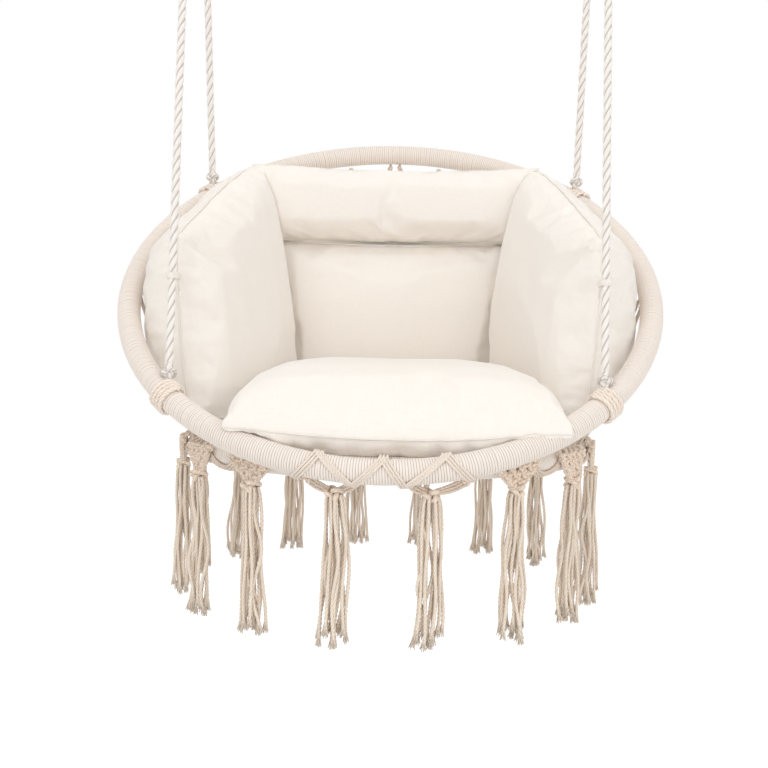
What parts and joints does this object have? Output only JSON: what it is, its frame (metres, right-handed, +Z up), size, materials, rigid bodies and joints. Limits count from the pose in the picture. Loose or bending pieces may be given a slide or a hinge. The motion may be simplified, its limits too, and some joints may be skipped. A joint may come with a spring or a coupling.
{
  "type": "hammock chair",
  "caption": "Hanging hammock chair: tilted round hoop wound with cotton cord, knotted net basket with tassels, loose cushions and rope suspension from two rings.",
  "frame": {"origin": "midway between the two hanging rings, on the line of their bottom wires, about which the chair swings", "axes": "+Z up; the chair faces -Y; +X runs from its left side (at -X, on the left in a front view) to its right"},
  "size_m": [0.8, 0.6519, 1.3113],
  "materials": {
    "winding_cotton": "matte",
    "rope_cotton": "matte",
    "net_cotton": "matte",
    "tassel_cotton": "matte",
    "cushion_cloth": "matte",
    "tube_steel": "satin",
    "ring_steel": "polished"
  },
  "bodies": {
    "hang_rings": {"left_hang_ring": "ring_steel", "right_hang_ring": "ring_steel"},
    "chair": {"left_front_rope_eye": "rope_cotton", "left_front_rope": "rope_cotton", "left_front_rope_hitch": "rope_cotton", "left_rear_rope_eye": "rope_cotton", "left_rear_rope": "rope_cotton", "left_rear_rope_hitch": "rope_cotton", "left_front_net": "net_cotton", "left_side_net": "net_cotton", "left_back_net": "net_cotton", "left_wing_cushion": "cushion_cloth", "left_cushion_tie": "cushion_cloth", "right_front_rope_eye": "rope_cotton", "right_front_rope": "rope_cotton", "right_front_rope_hitch": "rope_cotton", "right_rear_rope_eye": "rope_cotton", "right_rear_rope": "rope_cotton", "right_rear_rope_hitch": "rope_cotton", "right_front_net": "net_cotton", "right_side_net": "net_cotton", "right_back_net": "net_cotton", "right_wing_cushion": "cushion_cloth", "right_cushion_tie": "cushion_cloth", "big_hoop_tube": "tube_steel", "big_hoop_winding": "winding_cotton", "small_hoop_tube": "tube_steel", "small_hoop_winding": "winding_cotton", "seat_net": "net_cotton", "front_lashing_1": "net_cotton", "front_lashing_2": "net_cotton", "front_lashing_3": "net_cotton", "front_lashing_4": "net_cotton", "tassel_01": "tassel_cotton", "tassel_02": "tassel_cotton", "tassel_03": "tassel_cotton", "tassel_04": "tassel_cotton", "tassel_05": "tassel_cotton", "tassel_06": "tassel_cotton", "tassel_07": "tassel_cotton", "tassel_08": "tassel_cotton", "tassel_09": "tassel_cotton", "tassel_10": "tassel_cotton", "tassel_11": "tassel_cotton", "tassel_12": "tassel_cotton", "tassel_13": "tassel_cotton", "tassel_14": "tassel_cotton", "tassel_15": "tassel_cotton", "tassel_16": "tassel_cotton", "back_cushion": "cushion_cloth", "head_roll": "cushion_cloth"},
    "seat_cushion": {"seat_cushion": "cushion_cloth"}
  },
  "joints": [
    {"name": "chair_swing", "type": "hinge", "parent": "hang_rings", "child": "chair", "pos_m": [0, 0, 0], "axis": [1, 0, 0], "range_deg": [-25, 25]},
    {"name": "seat_cushion_lift", "type": "slide", "parent": "chair", "child": "seat_cushion", "axis": [0, 0, 1], "range_m": [0, 0.25]}
  ]
}
